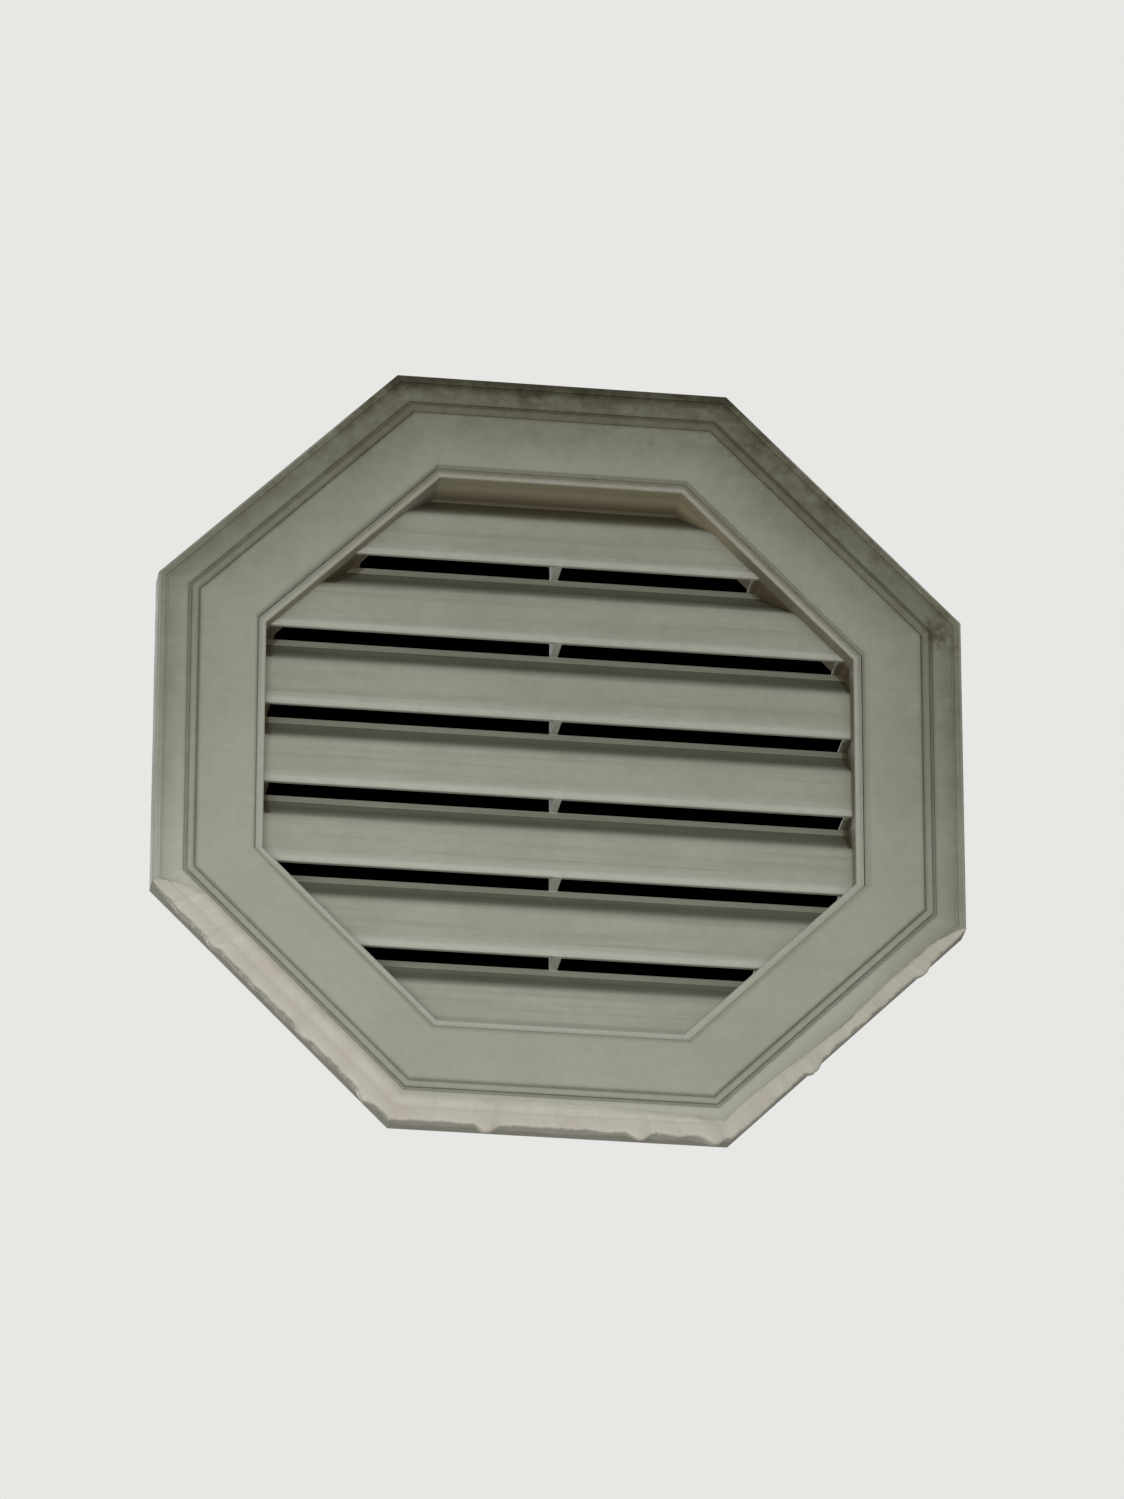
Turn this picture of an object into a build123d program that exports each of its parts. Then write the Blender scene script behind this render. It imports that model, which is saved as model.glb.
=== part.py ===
from build123d import *
from math import ceil, cos, pi, radians, sin, tan
import os

# Octagonal louvred gable vent. Millimetres. The front faces -Y, +Z is up, and the origin is the
# octagon's centre in the plane of the nailing flange's back face. Widths are across the flats.

# Clear opening and the wall around it
opening_width = 407.0
riser_wall = 3.0
nose_width = 5.5
nose_edge = 2.0
nose_round = 2.0
seam_gap = 0.4

# Depths, measured forward (towards -Y) from the mounting plane
casing_projection = 22.0
face_rise = 1.5
seam_step = 5.0
flange_thickness = 2.5

# Nailing flange
flange_width = 512.0
nail_line_inset = 16.0
nail_slot_spacing = 120.0
nail_slot_length = 19.0
nail_slot_width = 4.8

# Louvres
louvre_pitch = 58.8
louvre_wall = 2.5
lip_setback = 13.0
recess_depth = 23.5
face_height = 33.3
slope_rise = 20.5
shoulder_radius = 6.0
cove_radius = 3.0
nose_bead_height = 7.0
nose_bead_taper = 3.0
nose_bead_rise = 0.8
nose_bead_round = 1.0
dam_bead_height = 4.4
dam_bead_rise = 0.8
dam_bead_round = 0.5
slot_end_web = 5.0
centre_rib = 5.0
rear_margin = 3.5

# Trim ring
casing_width = 557.0
shell_wall = 2.5
outer_bead_width = 5.2
outer_bead_round = 1.6
valley_width = 2.0
valley_depth = 1.6
band_width = 13.4
band_drop = 2.4
quirk_width = 2.4
quirk_depth = 2.0
strip_width = 4.2
score_width = 2.0
score_depth = 1.4
seam_round = 3.0
mould_round = 0.6
ring_seat_gap = 0.5
rib_thickness = 2.0
rib_depth = 9.0
rib_spread = 96.0

# Snap fit between the ring's inner leg and the riser wall
tab_width = 44.0
tab_relief = 2.0
tooth_pitch = 3.1
tooth_height = 1.6
tooth_land = 0.5
snap_clearance = 0.25

# Insect screen and its heat-staked posts
screen_thickness = 0.6
screen_overlap = 9.0
mesh_pitch = 41.0
mesh_bar = 5.0
post_radius = 3.5
pin_radius = 1.4
pin_clearance = 0.2
head_radius = 2.8
head_crown_radius = 1.7
head_height = 1.2
post_offset = 55.0

# Sealant smeared along the lower right, bottom and lower left sides of the ring, in that order:
# how far it covers the ring's front, and the places of its lumps along each side
sealant_thickness = 2.4
sealant_covers = (9.0, 16.5, 16.5)
sealant_overhang = 2.0
sealant_skirt = 12.0
sealant_ripple = 1.0
sealant_steps = 10
lump_radius = 5.5
lump_places = ((36.0, -70.0), (50.0, -52.0, -102.0), (-32.0, -92.0))

# Values that follow from the sizes above
opening_half = opening_width / 2
riser_half = opening_half + riser_wall
nose_half = opening_half + nose_width
casing_half = casing_width / 2
flange_half = flange_width / 2
nail_line_half = flange_half - nail_line_inset
edge_front = -casing_projection
face_front = edge_front - face_rise
nose_front = face_front + seam_step
lip_front = nose_front + lip_setback
recess_front = lip_front + recess_depth
rear_edge = recess_front + louvre_wall + rear_margin
louvre_count = ceil(opening_width / louvre_pitch)
leg_inner = nose_half + seam_gap
leg_outer = leg_inner + shell_wall
leg_rear = -flange_thickness - ring_seat_gap


def half_span(half, height):
    """Half the width of an octagon of this half size at a height above its centre."""
    corner = half * tan(pi / 8)
    if abs(height) <= corner:
        return half
    return half + corner - abs(height)


def octagon_prism(half, front, back):
    """Octagonal prism about the Y axis, from the front depth to the back depth."""
    plane = Plane(origin=(0, back, 0), x_dir=(1, 0, 0), z_dir=(0, -1, 0))
    outline = RegularPolygon(half, 8, major_radius=False, rotation=22.5)
    return extrude(plane * outline, amount=back - front)


def on_sides(shape):
    """Copies of a shape made on the top side, turned on to each of the octagon's sides."""
    return [Rot(0, 45 * side, 0) * shape for side in range(8)]


def mitred_ring(corners):
    """Octagonal ring with mitred corners, from its section's (depth, half size, rounding)."""
    points = [(depth, half) for depth, half, _ in corners]
    roundings = [rounding for _, _, rounding in corners]
    section = Plane.YZ * make_face(FilletPolyline(*points, radius=roundings, close=True))
    front = min(depth for depth, _ in points)
    back = max(depth for depth, _ in points)
    height = 1.1 * max(half for _, half in points)
    reach = height * tan(pi / 8)
    bar = extrude(section, amount=reach, both=True)
    plane = Plane(origin=(0, back, 0), x_dir=(1, 0, 0), z_dir=(0, -1, 0))
    wedge = make_face(Polyline((0, 0), (-reach, height), (reach, height), close=True))
    side = bar & extrude(plane * wedge, amount=back - front)
    return Part() + on_sides(side)


def block(x_low, x_high, y_low, y_high, z_low, z_high):
    """Box between two corners."""
    size = (x_high - x_low, y_high - y_low, z_high - z_low)
    centre = ((x_high + x_low) / 2, (y_high + y_low) / 2, (z_high + z_low) / 2)
    return Pos(*centre) * Box(*size)


def riser():
    """Octagonal wall around the opening, with the rounded nosing at its front."""
    return mitred_ring([
        (rear_edge, opening_half, 0),
        (nose_front, opening_half, nose_round),
        (nose_front, nose_half, mould_round),
        (nose_front + nose_edge, nose_half, 0),
        (nose_front + nose_edge + nose_half - riser_half, riser_half, 0),
        (rear_edge, riser_half, 0),
    ])


def nail_slot(x, z, angle):
    """Cutter for one nail slot, lying along X when the angle is 0."""
    plane = Plane(origin=(x, 0, z), x_dir=(1, 0, 0), z_dir=(0, -1, 0))
    outline = SlotOverall(nail_slot_length, nail_slot_width, rotation=angle)
    return extrude(plane * outline, amount=flange_thickness)


def flange():
    """Flat nailing flange with slots on its top, bottom, left and right sides."""
    plate = octagon_prism(flange_half, -flange_thickness, 0)
    plate -= octagon_prism(riser_half - riser_wall / 2, -flange_thickness, 0)
    reach = nail_slot_spacing / 2
    for across in (-reach, reach):
        for along in (-nail_line_half, nail_line_half):
            plate -= nail_slot(across, along, 0)
            plate -= nail_slot(along, across, 90)
    return plate


def louvre_middle_line():
    """Middle of the louvre's sheet: upright face, sloped back, rain dam. (depth, height)"""
    middle = louvre_wall / 2
    front = lip_front + middle
    back = recess_front + middle
    return FilletPolyline(
        (front, 0),
        (front, face_height),
        (back, face_height + slope_rise),
        (back, louvre_pitch),
        radius=[shoulder_radius, cove_radius],
    )


def louvre_section():
    """One louvre's section, with the bead on its lip and the bead on its rain dam."""
    sheet = trace(louvre_middle_line(), line_width=louvre_wall)
    lip = make_face(FilletPolyline(
        (lip_front + louvre_wall / 2, 0),
        (lip_front - nose_bead_rise, 0),
        (lip_front - nose_bead_rise, nose_bead_height - nose_bead_taper),
        (lip_front, nose_bead_height),
        (lip_front + louvre_wall / 2, nose_bead_height),
        radius=[0, nose_bead_round, 4 * nose_bead_round, 0, 0],
        close=True,
    ))
    dam = Pos(recess_front - dam_bead_rise, louvre_pitch) * Rectangle(
        dam_bead_rise + louvre_wall / 2, dam_bead_height, align=(Align.MIN, Align.MAX)
    )
    dam = fillet(dam.vertices().sort_by(Axis.X)[:2], dam_bead_round)
    return sheet + lip + dam


def louvre_levels():
    """Height of each louvre's lower edge, with the set centred on the opening."""
    return [(index - louvre_count / 2) * louvre_pitch for index in range(louvre_count)]


def slot_end_webs(level):
    """Webs that close the air slot under the louvre at its two ends, in the louvre's own heights."""
    slot_half = half_span(opening_half, abs(level)) - slot_end_web
    back = recess_front + louvre_wall
    web = block(slot_half, riser_half, lip_front + louvre_wall / 2, back, 0, louvre_wall)
    return [web, mirror(web, Plane.YZ)]


def rib_stretch():
    """One louvre's stretch of the upright middle rib, which fills in behind its sheet."""
    line = louvre_middle_line()
    closing = Polyline(line @ 1, (rear_edge, louvre_pitch), (rear_edge, 0), line @ 0)
    section = Plane.YZ * make_face([*line.edges(), *closing.edges()])
    return extrude(section, amount=centre_rib / 2, both=True)


def louvre(level):
    """Louvre with its lower edge at this height, cut to fit inside the riser wall."""
    piece = extrude(Plane.YZ * louvre_section(), amount=riser_half, both=True)
    piece += rib_stretch()
    if level > -opening_half:
        piece += slot_end_webs(level)
    opening = octagon_prism(opening_half, lip_front - nose_bead_rise, rear_edge)
    return (Pos(0, 0, level) * piece) & opening


def tooth_fronts():
    """Depth of each ratchet tooth's front, from just behind the nosing to the last barb's room."""
    start = nose_front + nose_edge + nose_half - riser_half + snap_clearance
    count = int((leg_rear - start) / tooth_pitch) - 1
    return [start + index * tooth_pitch for index in range(count)]


def ramp_length():
    """Length of a ratchet tooth's ramp."""
    return tooth_pitch - snap_clearance - tooth_land


def rack():
    """Ratchet teeth outside the riser wall's top side: ramps in front, square behind."""
    teeth = []
    for front in tooth_fronts():
        crest = front + ramp_length()
        back = crest + tooth_land
        root = riser_half - riser_wall / 2
        outline = Polyline(
            (front, root),
            (front, riser_half),
            (crest, riser_half + tooth_height),
            (back, riser_half + tooth_height),
            (back, root),
            close=True,
        )
        section = Plane.YZ * make_face(outline)
        teeth.append(extrude(section, amount=tab_width / 2, both=True))
    return teeth


def screen_post():
    """Post outside the riser's top side, with a pin and a melted head behind the screen."""
    base = Plane(origin=(post_offset, 0, riser_half), x_dir=(1, 0, 0), z_dir=(0, 1, 0))
    column = extrude(base * Circle(post_radius), amount=rear_edge)
    column -= octagon_prism(riser_half - riser_wall / 2, 0, rear_edge)
    axis = base * Pos(0, -pin_radius)
    pin_length = rear_edge + screen_thickness + pin_clearance / 2
    pin = extrude(axis * Circle(pin_radius), amount=pin_length)
    head = axis * Pos(0, 0, pin_length) * Cone(
        head_radius, head_crown_radius, head_height, align=(Align.CENTER, Align.CENTER, Align.MIN)
    )
    return column + pin + head


def vent_frame():
    """Riser wall and nailing flange, with the ratchet racks and the screen's posts."""
    body = riser() + flange()
    for tooth in rack():
        body += on_sides(tooth)
    return body + on_sides(screen_post())


def ring_front():
    """Front of the ring's section, from its outer edge inward: (depth, half size, rounding)."""
    bead_inner = casing_half - outer_bead_width
    valley_inner = bead_inner - valley_width
    band_inner = valley_inner - band_width
    quirk_inner = band_inner - quirk_width
    strip_inner = quirk_inner - strip_width
    score_inner = strip_inner - score_width
    valley_floor = edge_front + valley_depth
    quirk_floor = face_front + quirk_depth
    return [
        (edge_front, casing_half, outer_bead_round),
        (edge_front, bead_inner, mould_round),
        (valley_floor, bead_inner, 0),
        (valley_floor, valley_inner, 0),
        (edge_front + band_drop / 2, valley_inner, 0),
        (edge_front - band_drop / 2, band_inner, mould_round),
        (quirk_floor, band_inner, 0),
        (quirk_floor, quirk_inner, 0),
        (face_front, quirk_inner, mould_round),
        (face_front, strip_inner, 0),
        (face_front + score_depth, strip_inner - score_width / 2, 0),
        (face_front, score_inner, 0),
        (face_front, leg_inner, seam_round),
    ]


def hollow_line():
    """Line of the ring's hollow, from its inner leg to its outer wall. (depth, half size)"""
    step = casing_half - outer_bead_width - valley_width - band_width - quirk_width
    step -= strip_width + score_width
    face_back = face_front + shell_wall
    band_back = edge_front + valley_depth + shell_wall
    return [
        (face_back, leg_outer),
        (face_back, step - shell_wall),
        (band_back, step),
        (band_back, casing_half - shell_wall),
    ]


def ring_shell():
    """Hollow casing section swept round the octagon: outer wall, moulded front and inner leg."""
    hollow = [(depth, half, 0) for depth, half in hollow_line()]
    return mitred_ring(ring_front() + [
        (leg_rear, leg_inner, 0),
        (leg_rear, leg_outer, 0),
        *hollow,
        (leg_rear, casing_half - shell_wall, 0),
        (leg_rear, casing_half, 0),
    ])


def rib_plate(stretch):
    """Rib across the ring's hollow on its top side, longer by the stretch factor on a mitre."""
    sunk = shell_wall / 2
    line = hollow_line()
    (face_back, inner), (_, face_end), (band_back, band_end), (_, outer) = line
    rear = band_back + rib_depth
    points = [
        (rear, (inner - sunk) * stretch),
        (face_back - sunk, (inner - sunk) * stretch),
        (face_back - sunk, face_end * stretch),
        (band_back - sunk, band_end * stretch),
        (band_back - sunk, (outer + sunk) * stretch),
        (rear, (outer + sunk) * stretch),
    ]
    section = Plane.YZ * make_face(Polyline(*points, close=True))
    return extrude(section, amount=rib_thickness / 2, both=True)


def ring_ribs():
    """Stiffening ribs across the ring's hollow: two on each side and one on each mitre."""
    ribs = on_sides(Rot(0, 22.5, 0) * rib_plate(1 / cos(pi / 8)))
    for x in (-rib_spread / 2, rib_spread / 2):
        ribs += on_sides(Pos(x, 0, 0) * rib_plate(1))
    return ribs


def tab_reliefs():
    """Cutters for the gaps that free each snap tab from the leg of the top side."""
    cutters = []
    front = face_front + 2 * shell_wall
    for x in (-tab_width / 2 - tab_relief, tab_width / 2):
        cutters.append(
            block(x, x + tab_relief, front, leg_rear, leg_inner - seam_gap, leg_outer + seam_gap)
        )
    return cutters


def barbs():
    """Barbs on the top side's snap tab, each seated behind a tooth of the ratchet rack."""
    pieces = []
    width = tab_width - 2 * tab_relief
    tip = riser_half + tooth_height * tooth_land / ramp_length() + snap_clearance
    root = leg_inner + shell_wall / 2
    for tooth in tooth_fronts()[-2:]:
        front = tooth + tooth_pitch
        back = front + tooth_pitch - snap_clearance
        outline = Polyline(
            (front, root), (front, tip), (front + tooth_land, tip), (back, leg_inner), (back, root),
            close=True,
        )
        pieces.append(extrude(Plane.YZ * make_face(outline), amount=width / 2, both=True))
    return pieces


def trim_ring():
    """Snap-on casing: one moulding with a stepped front, ribs and eight barbed tabs."""
    body = ring_shell() + ring_ribs()
    for cutter in tab_reliefs():
        body -= on_sides(cutter)
    for barb in barbs():
        body += on_sides(barb)
    return body


def insect_screen():
    """Thin sheet over the back of the panel, with a grid of gaps and a hole for each pin."""
    half = opening_half + screen_overlap
    sheet = octagon_prism(half, rear_edge, rear_edge + screen_thickness)
    reach = ceil(opening_half / mesh_pitch)
    gap = mesh_pitch - mesh_bar
    windows = []
    for column in range(-reach, reach + 1):
        for row in range(-reach, reach + 1):
            x = column * mesh_pitch
            z = row * mesh_pitch
            far_x = abs(x) + gap / 2
            far_z = abs(z) + gap / 2
            if far_z < opening_half and far_x < half_span(opening_half, far_z):
                windows.append(Pos(x, z) * Rectangle(gap, gap))
    plane = Plane(origin=(0, rear_edge, 0), x_dir=(1, 0, 0), z_dir=(0, 1, 0))
    sheet -= extrude(plane * Sketch(children=windows), amount=screen_thickness)
    hole = Plane(
        origin=(post_offset, rear_edge, riser_half + pin_radius), x_dir=(1, 0, 0), z_dir=(0, 1, 0)
    )
    cutter = extrude(hole * Circle(pin_radius + pin_clearance), amount=screen_thickness)
    return sheet - on_sides(cutter)


def lower_side_point(side, along, half):
    """Point along the lower right (0), bottom (1) or lower left (2) side of an octagon. (x, z)"""
    angle = radians(135 + 45 * side)
    return (half * sin(angle) + along * cos(angle), half * cos(angle) - along * sin(angle))


def sealant_edge(reaches, phase):
    """Ragged line along the three lower sides at their half sizes, as points in the XZ plane."""
    points = []
    corner = casing_half * tan(pi / 8)
    for side, reach in enumerate(reaches):
        for step in range(sealant_steps):
            along = corner * (2 * (step + 0.5) / sealant_steps - 1)
            wave = sin(0.11 * along + phase * side) + 0.6 * sin(0.29 * along + 2.3 * phase)
            points.append(lower_side_point(side, along, reach + sealant_ripple * wave))
    return points


def sealant_outline():
    """Flat outline of the smear, between its two ragged lines, with its lumps."""
    outer_half = casing_half + sealant_overhang
    outer = sealant_edge([outer_half] * len(lump_places), 1.0)
    inner = sealant_edge([casing_half - cover for cover in sealant_covers], 2.0)
    outline = make_face(Polyline(*outer, *reversed(inner), close=True))
    for side, places in enumerate(lump_places):
        for along in places:
            outline += Pos(*lower_side_point(side, along, outer_half)) * Circle(lump_radius)
    return outline


def sealant_bead():
    """Cured sealant that hugs the ring's band and outer wall, with lumps along its outer edge."""
    front = edge_front - sealant_thickness
    back = edge_front + sealant_skirt
    plane = Plane(origin=(0, back, 0), x_dir=(1, 0, 0), z_dir=(0, -1, 0))
    smear = extrude(plane * sealant_outline(), amount=back - front)
    return smear - mitred_ring(ring_front() + [(back, leg_inner, 0), (back, casing_half, 0)])


def export(shape, node):
    """Write one node's solid to its STEP file."""
    os.makedirs("parts", exist_ok=True)
    export_step(shape, f"parts/{node}.step")


export(vent_frame(), "vent_frame")
for number, level in enumerate(louvre_levels(), 1):
    export(louvre(level), f"louvre_{number}")
export(trim_ring(), "trim_ring")
export(insect_screen(), "insect_screen")
export(sealant_bead(), "sealant_bead")
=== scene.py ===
from math import cos, pi, radians, sin, sqrt, tan

import bpy
from mathutils import Matrix, Vector, noise
from mathutils.bvhtree import BVHTree

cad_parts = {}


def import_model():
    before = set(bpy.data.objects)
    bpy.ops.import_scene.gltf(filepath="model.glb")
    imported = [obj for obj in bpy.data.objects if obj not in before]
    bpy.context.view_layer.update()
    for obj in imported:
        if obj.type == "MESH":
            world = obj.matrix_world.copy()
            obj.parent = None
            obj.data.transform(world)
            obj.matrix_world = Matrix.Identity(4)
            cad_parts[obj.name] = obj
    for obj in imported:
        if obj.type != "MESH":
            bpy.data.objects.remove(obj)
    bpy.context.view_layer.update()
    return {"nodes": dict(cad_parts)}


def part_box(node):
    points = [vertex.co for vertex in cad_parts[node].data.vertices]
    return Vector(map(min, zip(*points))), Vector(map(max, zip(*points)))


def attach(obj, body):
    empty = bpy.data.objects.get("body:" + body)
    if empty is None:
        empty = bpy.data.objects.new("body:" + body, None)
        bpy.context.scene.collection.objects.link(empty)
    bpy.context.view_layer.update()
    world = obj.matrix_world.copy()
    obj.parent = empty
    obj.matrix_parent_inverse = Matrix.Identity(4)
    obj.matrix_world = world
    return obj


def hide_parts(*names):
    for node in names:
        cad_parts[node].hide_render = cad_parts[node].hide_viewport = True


# Looks of a weathered octagonal louvred gable vent. Metres, in the frame of the solids: the front
# faces -Y, +Z is up, and the octagon's centre is at X = Z = 0. A half size is half the width
# across the flats.

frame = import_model()
ring_low, ring_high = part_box("trim_ring")
screen_low, screen_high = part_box("insect_screen")
LOUVRES = sorted(name for name in frame["nodes"] if name.startswith("louvre_"))

# Where features lie on the vent
FACE_FRONT = ring_low.y
EDGE_FRONT = FACE_FRONT + 0.0015
CASING_HALF = ring_high.x
CORNER = tan(pi / 8)  # half a side's length over the octagon's half size
OUTER_WALL = 0.2770
OPENING_HALF = 0.2035
NOSING_HALF = 0.2090
NOSING_FRONT = FACE_FRONT + 0.0050
NOSING_DEPTH = 0.0020
SEAM_HALF = 0.2092
SCORE_HALF = 0.2503
STRIP_HALF = 0.2534
QUIRK_HALF = 0.2567
LIP_FRONT = -0.0055
LOUVRE_BACK = 0.0205
LOUVRE_PITCH = 0.0588
LOWEST_LIP = -3.5 * LOUVRE_PITCH
LIP_HEIGHT = 0.0065
RIB_HALF = 0.0025

# View: the photograph's own place and direction, from below and a little to the left, framed closer
VIEW_AZIMUTH = radians(8.98)
VIEW_RISE = radians(26.13)
VIEW_ROLL = radians(-0.22)
VIEW_CENTRE = Vector((0, EDGE_FRONT, 0))
VIEW_ASIDE = Vector((0.0664, 0.1525, 6.3067))
PHOTO_LENS = 120.08
CLOSER = 1.85
SENSOR_WIDTH = 36
CLIP_START = 0.1
CLIP_END = 100

# Light: each lamp's place, size and power
EVEN_LIGHT = 0.42
LAMPS = {
    "key": ((-0.40, -1.30, -0.62), 0.9, 13),
    "fill": ((0.8, -2.6, -0.3), 2.0, 5),
    "back": ((-0.9, 2.6, 1.2), 2.0, 26),
}
FLOOR_SIZE = 60
FLOOR_HEIGHT = -8

# Colours, linear
PLASTIC = (0.332, 0.341, 0.277)
PLASTIC_DULL = (0.291, 0.301, 0.239)
PLASTIC_STREAK = (0.248, 0.257, 0.200)
# Painted highlight on the louvres' lips, the rib, the casing's lower band and its outer edge
HIGHLIGHT_PALE = (0.465, 0.460, 0.405)
# Painted highlight on the nosing, paler on its sides and below
NOSING_CREAM = (0.335, 0.322, 0.262)
NOSING_PALE = (0.385, 0.382, 0.325)
# Stain and painted shade on the opening's inner wall
WALL_KHAKI = (0.290, 0.253, 0.160)
WALL_TAN = (0.210, 0.195, 0.145)
WALL_BROWN = (0.130, 0.117, 0.078)
# Grime and painted shade on the casing's band
GRIME_AND_SHADE_GREY = (0.050, 0.043, 0.014)
# Near-black darkening along the casing's top edge
TOP_EDGE_BLACK = (0.022, 0.018, 0.008)
# Specks, and grime and painted shade in grooves, corners and on the louvres' slopes
GRIME_AND_SHADE_OLIVE = (0.056, 0.048, 0.021)
# Painted shade in the opening's deep corners, and browner deep corners of the sealant
GRIME_AND_SHADE_BROWN = (0.095, 0.074, 0.040)
# Painted light in the bottom of the seam
SEAM_PAINTED_LIGHT = (0.600, 0.610, 0.520)
STAIN_BROWN = (0.068, 0.055, 0.029)
SCREEN_BLACK = (0.010, 0.010, 0.010)
SCREEN_DUST = (0.060, 0.055, 0.045)
SEALANT_CREAM = (0.460, 0.435, 0.365)
SEALANT_DULL = (0.410, 0.382, 0.315)
BACKGROUND = (0.80, 0.80, 0.78)


class Graph:
    """Shader nodes of one material, added and joined by short calls."""

    def __init__(self, name):
        self.material = bpy.data.materials.new(name)
        self.material.use_nodes = True
        self.tree = self.material.node_tree
        self.tree.nodes.clear()
        self.place = self.add("ShaderNodeTexCoord").outputs["Object"]
        axes = self.add("ShaderNodeSeparateXYZ", self.place)
        self.x, self.y, self.z = axes.outputs

    def put(self, value, socket):
        """Joins a socket to another, or sets a plain value on it."""
        if isinstance(value, bpy.types.NodeSocket):
            self.tree.links.new(value, socket)
        else:
            socket.default_value = value

    def add(self, kind, *values, **settings):
        """New node with its first inputs given by values and its properties by settings."""
        node = self.tree.nodes.new(kind)
        for name, value in settings.items():
            setattr(node, name, value)
        for value, socket in zip(values, node.inputs):
            self.put(value, socket)
        return node

    def math(self, operation, *values):
        return self.add("ShaderNodeMath", *values, operation=operation).outputs[0]

    def ramp(self, value, low, high, start=0.0, end=1.0):
        """Value brought smoothly from start to end as it goes from low to high."""
        node = self.add("ShaderNodeMapRange", value, low, high, start, end)
        node.interpolation_type = "SMOOTHSTEP"
        return node.outputs[0]

    def line(self, value, low, high, start=0.0, end=1.0):
        """Value brought evenly from start to end as it goes from low to high."""
        return self.add("ShaderNodeMapRange", value, low, high, start, end).outputs[0]

    def product(self, *values):
        """All the values multiplied together."""
        result = values[0]
        for value in values[1:]:
            result = self.math("MULTIPLY", result, value)
        return result

    def away(self, value, middle):
        """How far a value is from a middle, on either side."""
        return self.math("ABSOLUTE", self.math("SUBTRACT", value, middle))

    def stretched(self, x, y, z):
        """The place, with each axis scaled."""
        node = self.add("ShaderNodeVectorMath", self.place, (x, y, z), operation="MULTIPLY")
        return node.outputs[0]

    def noise(self, place, scale, detail=4.0, rough=0.55):
        """Noise from 0 to 1."""
        node = self.add("ShaderNodeTexNoise")
        self.put(place, node.inputs["Vector"])
        node.inputs["Scale"].default_value = scale
        node.inputs["Detail"].default_value = detail
        node.inputs["Roughness"].default_value = rough
        return node.outputs[0]

    def mix(self, share, first, second):
        """Colour mix by a share from 0 to 1."""
        node = self.add("ShaderNodeMix", data_type="RGBA")
        self.put(share, node.inputs["Factor"])
        colours = [socket for socket in node.inputs if socket.type == "RGBA"]
        self.put(colour4(first), colours[0])
        self.put(colour4(second), colours[1])
        return [socket for socket in node.outputs if socket.type == "RGBA"][0]

    def crevice(self, reach):
        """1 on open surfaces and less in corners and grooves narrower than the reach."""
        node = self.add("ShaderNodeAmbientOcclusion", samples=8)
        node.inputs["Distance"].default_value = reach
        return node.outputs["AO"]

    def bump(self, height, strength, depth, under=None):
        """Normal of a surface with this height on it."""
        node = self.add("ShaderNodeBump")
        node.inputs["Strength"].default_value = strength
        node.inputs["Distance"].default_value = depth
        self.put(height, node.inputs["Height"])
        if under is not None:
            self.put(under, node.inputs["Normal"])
        return node.outputs[0]

    def surface(self, colour, roughness, normal=None, specular=0.35):
        """The finished material, with this surface."""
        shader = self.add("ShaderNodeBsdfPrincipled")
        self.put(colour4(colour), shader.inputs["Base Color"])
        self.put(roughness, shader.inputs["Roughness"])
        shader.inputs["Specular IOR Level"].default_value = specular
        if normal is not None:
            self.put(normal, shader.inputs["Normal"])
        return self.output(shader.outputs[0])

    def output(self, shader):
        """The finished material, with this shader."""
        self.add("ShaderNodeOutputMaterial", shader)
        return self.material


def colour4(value):
    """Colour as four numbers, or a socket as it is."""
    if isinstance(value, bpy.types.NodeSocket):
        return value
    return (*value, 1.0)


# Weathered plastic, with painted shade and highlights. Each range below is for a ramp or a line:
# the two ends of what is measured, and after them, where they aren't 0 and 1, the shares at those
# ends.
# A noise is its scale, its detail and its roughness. Grime and painted shade lie thickest above and
# a little to the right, by their lean. The leasts keep a division off zero at the octagon's centre.
PANEL_STREAKS = 0.6
RING_STREAKS = 0.1
GRIME_AND_SHADE_LEAN = 0.18
UPNESS_LEAST = 0.001
UPWARD_LEAST = 0.0001
MOTTLE_NOISE = (14.0, 5.0)
SPECK_NOISE = (130.0, 4.0, 0.65)
STREAK_STRETCH = (4.0, 40.0, 190.0)
STREAK_NOISE = (1.0, 5.0, 0.6)
DRIP_STRETCH = (120.0, 20.0, 7.0)
DRIP_NOISE = (1.0, 4.0, 0.6)
WIDE_NOISE = (30.0, 7.0, 0.66)
FINE_NOISE = (110.0, 6.0, 0.7)
MOTTLE_DULL = (0.35, 0.65, 0.0, 0.6)
STREAK_ENDS = (0.45, 0.70)
NOSING_TONE = (0.2, 1.0)
PATCHES_WIDE = (0.32, 0.66, 0.84, 1.06)
PATCHES_FINE = (0.3, 0.7, 0.80, 1.12)
SPECKS = (0.35, 0.75, 0.0, 0.10)
ROUGHNESS = (0.2, 0.8, 0.50, 0.66)
GRAIN_STRENGTH = 0.20
GRAIN_DEPTH = 0.0004
STREAK_STRENGTH = 0.5
STREAK_DEPTH = 0.0005

# On and in the opening
WITHIN_OPENING = (OPENING_HALF, OPENING_HALF - 0.0006)
UP_TO_WALL = (OPENING_HALF + 0.0012, OPENING_HALF + 0.0004)
# Painted highlight on the louvres' lips
LIP_HIGHLIGHT_TOP = (1.5 * LIP_HEIGHT, 0.6 * LIP_HEIGHT)
LIP_HIGHLIGHT_FOOT = (0.0, 0.4 * LIP_HEIGHT, 0.7, 1.0)
LIP_HIGHLIGHT_FRONT = (LIP_FRONT + 0.0012, LIP_FRONT + 0.0004)
LIP_HIGHLIGHT_SHARE = 0.80
RIB_SIDES = (RIB_HALF + 0.0008, RIB_HALF + 0.0002)
RIB_LEVELS = (0.0012, 0.0004)
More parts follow.
